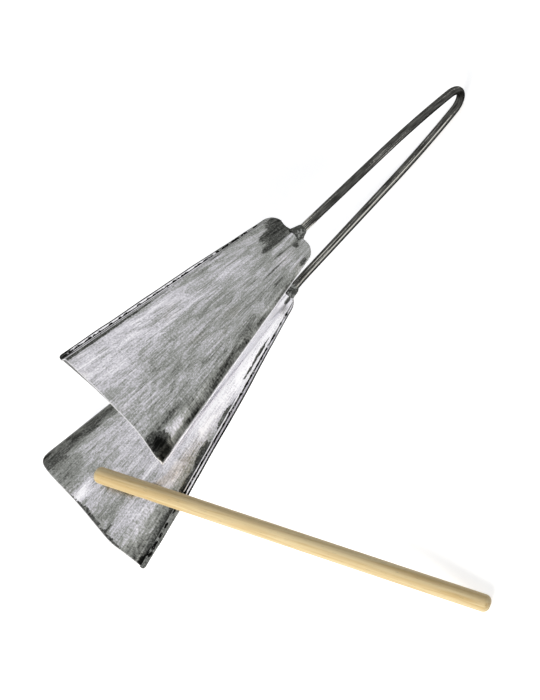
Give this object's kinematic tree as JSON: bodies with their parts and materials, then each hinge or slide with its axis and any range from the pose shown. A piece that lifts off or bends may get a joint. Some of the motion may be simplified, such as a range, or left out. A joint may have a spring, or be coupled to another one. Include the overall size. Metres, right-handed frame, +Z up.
{
  "type": "double agogo bell",
  "caption": "Agogo: a small and a large flattened sheet-steel bell on one bent rod handle that springs together when squeezed, with a plain wooden beater leaning on the large bell.",
  "frame": {"origin": "middle of the bounding box, on the table that the object lies on", "axes": "+Z up, mouths of the bells towards -Y, handle towards +Y, beater out towards +X"},
  "size_m": [0.3312, 0.4249, 0.154],
  "materials": {
    "bell_steel": "bright, streaky and mottled along the bell",
    "weld": "rough, dark with bright specks",
    "rod_steel": "smooth, drawn",
    "beater_wood": "sanded, unvarnished"
  },
  "bodies": {
    "low_bell": {"low_bell_shell": "bell_steel", "low_seam_welds": "weld", "low_crown_weld": "weld", "handle_rod": "rod_steel"},
    "high_bell": {"high_bell_shell": "bell_steel", "high_seam_welds": "weld", "high_crown_weld": "weld"},
    "beater": {"beater": "beater_wood"}
  },
  "joints": [
    {"name": "high_bell_squeeze", "type": "hinge", "parent": "low_bell", "child": "high_bell", "pos_m": [-0.10096, 0.19669, 0.01582], "axis": [1, 0, 0], "range_deg": [-3, 7.7], "stiffness_Nm_per_rad": 60, "springref_deg": -0.65, "deforming": ["handle_rod"]},
    {"name": "beater_lift", "type": "slide", "parent": "low_bell", "child": "beater", "axis": [0, 0, 1], "range_m": [0, 0.1]}
  ]
}
